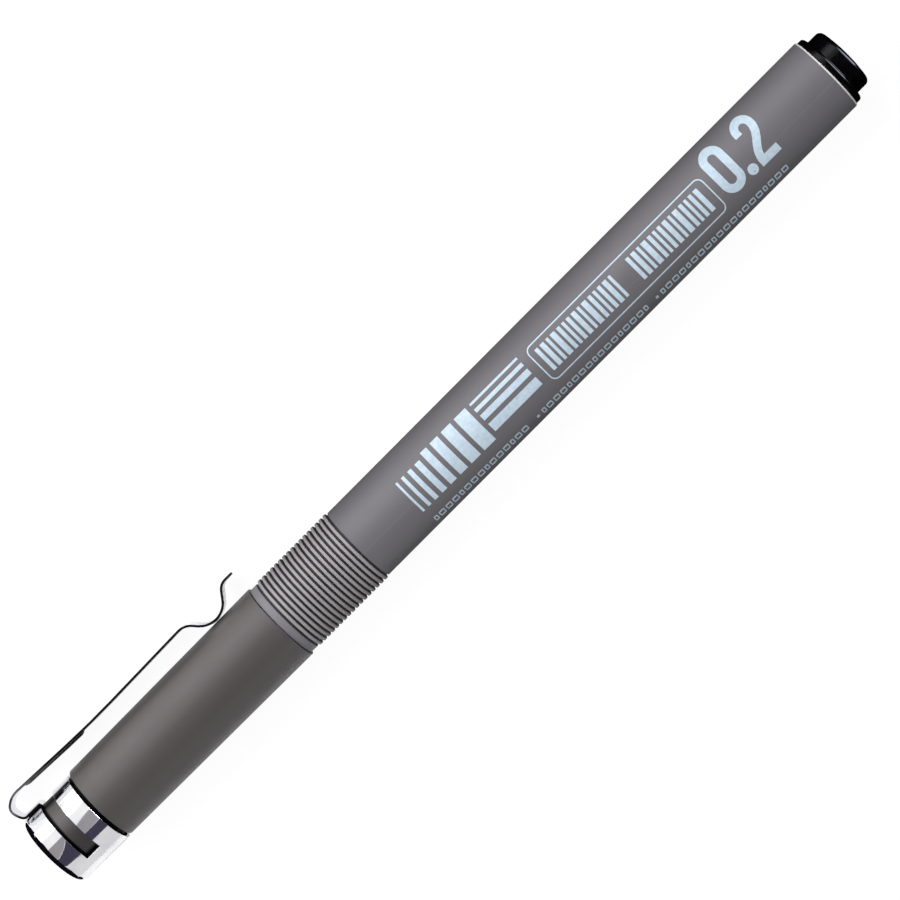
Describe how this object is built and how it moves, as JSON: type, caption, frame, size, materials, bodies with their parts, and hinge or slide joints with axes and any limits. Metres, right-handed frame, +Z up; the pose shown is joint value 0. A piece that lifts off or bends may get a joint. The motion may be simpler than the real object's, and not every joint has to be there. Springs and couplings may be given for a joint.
{
  "type": "technical pen",
  "caption": "Capped fibre-core technical drawing pen with a needle point, ridged grip, slide-on cap, metal end cup and spring clip.",
  "frame": {"origin": "on the table under the middle of the pen's box, which includes the clip", "axes": "+X along the pen towards its writing point and the closed end of the cap; +Y away from the clip; +Z up, with the pen lying on the cap's rim and the clip's edge"},
  "size_m": [0.135, 0.0138, 0.0109],
  "materials": {
    "barrel_plastic": "satin moulded polypropylene, grey",
    "cap_plastic": "satin moulded polypropylene, darker grey",
    "black_plastic": "glossy moulded polypropylene, black",
    "natural_plastic": "unpigmented polypropylene",
    "nib_core": "extruded acetal core, stained with ink",
    "inked_fibre": "bonded polyester fibre, soaked with ink",
    "steel": "turned stainless steel",
    "chrome": "bright plated spring steel"
  },
  "bodies": {
    "pen": {"barrel": "barrel_plastic", "nose_section": "barrel_plastic", "tip_collar": "steel", "needle_tube": "steel", "nib": "nib_core", "ink_feeder": "inked_fibre", "reservoir_fibre": "inked_fibre", "reservoir_film": "natural_plastic", "rear_plug": "black_plastic"},
    "sleeve": {"inner_sleeve": "natural_plastic"},
    "cap": {"cap_shell": "cap_plastic", "end_cup": "chrome", "clip_foot": "chrome"},
    "clip": {"clip_arm": "chrome"}
  },
  "joints": [
    {"name": "cap_slide", "type": "slide", "parent": "pen", "child": "sleeve", "axis": [1, 0, 0], "range_m": [0, 0.04]},
    {"name": "cap_turn", "type": "hinge", "parent": "sleeve", "child": "cap", "pos_m": [0.06752, 0.00146, 0.00545], "axis": [1, 0, 0], "continuous": true},
    {"name": "clip_flex", "type": "hinge", "parent": "cap", "child": "clip", "pos_m": [0.06712, -0.0045, 0.00268], "axis": [0, -0.4205, 0.9073], "range_deg": [0, 5], "stiffness_Nm_per_rad": 0.3, "springref_deg": -1.72}
  ]
}
